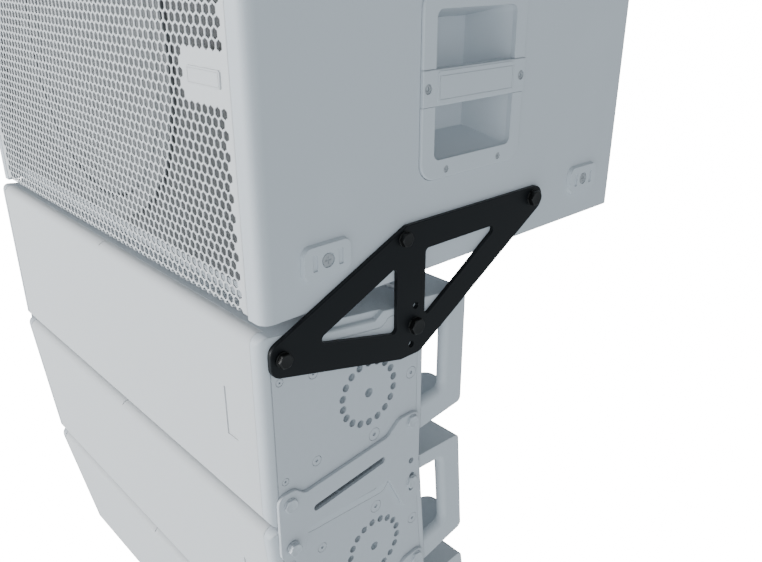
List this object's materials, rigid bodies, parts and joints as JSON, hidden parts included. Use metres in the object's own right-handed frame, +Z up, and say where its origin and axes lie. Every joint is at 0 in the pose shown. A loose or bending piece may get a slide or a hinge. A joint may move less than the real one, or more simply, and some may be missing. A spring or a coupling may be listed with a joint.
{
  "type": "line array loudspeaker column",
  "caption": "Flown loudspeaker column: a subwoofer over wide tapered modules, joined by bolted angle brackets and link plates that set the splay, with grab handles and grilles.",
  "frame": {"origin": "middle of the subwoofer's top face, at the centre of the four fly points", "axes": "+X to the column's right-hand side plate, +Y to the rear, +Z up; the grilles face -Y"},
  "size_m": [0.726, 0.5766, 1.1181],
  "materials": {
    "sub_paint": "painted plywood, fine textured light grey",
    "grille_paint": "light grey powder coat",
    "badge": "light grey, blank",
    "driver_metal": "dark coated metal",
    "cone_paper": "grey treated pulp",
    "handle_plastic": "light grey moulded",
    "pad_plastic": "light grey moulded",
    "screw_metal": "coated screws",
    "insert_metal": "zinc plated",
    "amp_metal": "grey powder coat",
    "heat_sink_metal": "dark anodised fins",
    "connector_plastic": "black moulded",
    "knob_plastic": "black moulded",
    "black_steel": "black powder coat",
    "black_bolt": "black oxide",
    "module_paint": "light grey textured paint",
    "cloth_grille": "light grey cloth over steel",
    "plate_screw_metal": "painted countersunk screws",
    "horn_plastic": "black moulded",
    "rear_panel_metal": "grey powder coat",
    "plate_paint": "light grey powder coat",
    "pale_bolt": "light grey coated",
    "link_paint": "light grey powder coat"
  },
  "bodies": {
    "top": {"sub_cabinet": "sub_paint", "sub_baffle": "sub_paint", "sub_grille": "grille_paint", "sub_badge_plate": "badge", "sub_woofer_frame": "driver_metal", "sub_handles": "handle_plastic", "sub_handle_bars": "handle_plastic", "sub_pads": "pad_plastic", "sub_screws": "screw_metal", "sub_inserts": "insert_metal", "sub_amp_tray": "amp_metal", "sub_heat_sink": "heat_sink_metal", "sub_connectors": "connector_plastic", "bracket_right": "black_steel", "bracket_left": "black_steel", "bracket_bolts": "black_bolt"},
    "sub_cone": {"sub_woofer_cone": "cone_paper"},
    "gain_knob": {"sub_gain_knob": "knob_plastic"},
    "module_1": {"cabinet_1": "module_paint", "grille_1": "cloth_grille", "plate_screws_1": "plate_screw_metal", "rear_handles_1": "module_paint", "woofer_frames_1": "driver_metal", "horn_1": "horn_plastic", "horn_driver_1": "driver_metal", "rear_panel_1": "rear_panel_metal", "side_plate_right_1": "plate_paint", "side_plate_left_1": "plate_paint", "pivot_bolts_1": "black_bolt", "link_bolts_1": "pale_bolt", "link_right_1": "link_paint", "link_left_1": "link_paint"},
    "module_1_cones": {"woofer_cones_1": "cone_paper"},
    "module_2": {"cabinet_2": "module_paint", "grille_2": "cloth_grille", "plate_screws_2": "plate_screw_metal", "rear_handles_2": "module_paint", "woofer_frames_2": "driver_metal", "horn_2": "horn_plastic", "horn_driver_2": "driver_metal", "rear_panel_2": "rear_panel_metal", "side_plate_right_2": "plate_paint", "side_plate_left_2": "plate_paint", "pivot_bolts_2": "pale_bolt", "link_bolts_2": "pale_bolt", "link_right_2": "link_paint", "link_left_2": "link_paint"},
    "module_2_cones": {"woofer_cones_2": "cone_paper"},
    "module_3": {"cabinet_3": "module_paint", "grille_3": "cloth_grille", "plate_screws_3": "plate_screw_metal", "rear_handles_3": "module_paint", "woofer_frames_3": "driver_metal", "horn_3": "horn_plastic", "horn_driver_3": "driver_metal", "rear_panel_3": "rear_panel_metal", "side_plate_right_3": "plate_paint", "side_plate_left_3": "plate_paint", "pivot_bolts_3": "pale_bolt"},
    "module_3_cones": {"woofer_cones_3": "cone_paper"}
  },
  "joints": [
    {"name": "module_1_tilt", "type": "hinge", "parent": "top", "child": "module_1", "pos_m": [0, -0.2693, -0.47], "axis": [1, 0, 0], "range_deg": [-7.4, 7.4]},
    {"name": "module_2_splay", "type": "hinge", "parent": "module_1", "child": "module_2", "pos_m": [0, -0.2693, -0.697], "axis": [1, 0, 0], "range_deg": [-3, 10]},
    {"name": "module_3_splay", "type": "hinge", "parent": "module_2", "child": "module_3", "pos_m": [0, -0.24952, -0.92314], "axis": [1, 0, 0], "range_deg": [-3, 10]},
    {"name": "sub_cone_travel", "type": "slide", "parent": "top", "child": "sub_cone", "axis": [0, 1, 0], "range_m": [-0.008, 0.008], "stiffness_N_per_m": 4000},
    {"name": "gain_turn", "type": "hinge", "parent": "top", "child": "gain_knob", "pos_m": [0.125, 0.27, -0.15], "axis": [0, 1, 0], "range_deg": [-140, 140]},
    {"name": "module_1_cone_travel", "type": "slide", "parent": "module_1", "child": "module_1_cones", "axis": [0, 1, 0], "range_m": [-0.004, 0.004], "stiffness_N_per_m": 3000},
    {"name": "module_2_cone_travel", "type": "slide", "parent": "module_2", "child": "module_2_cones", "axis": [0, 0.9962, 0.0872], "range_m": [-0.004, 0.004], "stiffness_N_per_m": 3000},
    {"name": "module_3_cone_travel", "type": "slide", "parent": "module_3", "child": "module_3_cones", "axis": [0, 0.9848, 0.1736], "range_m": [-0.004, 0.004], "stiffness_N_per_m": 3000}
  ]
}
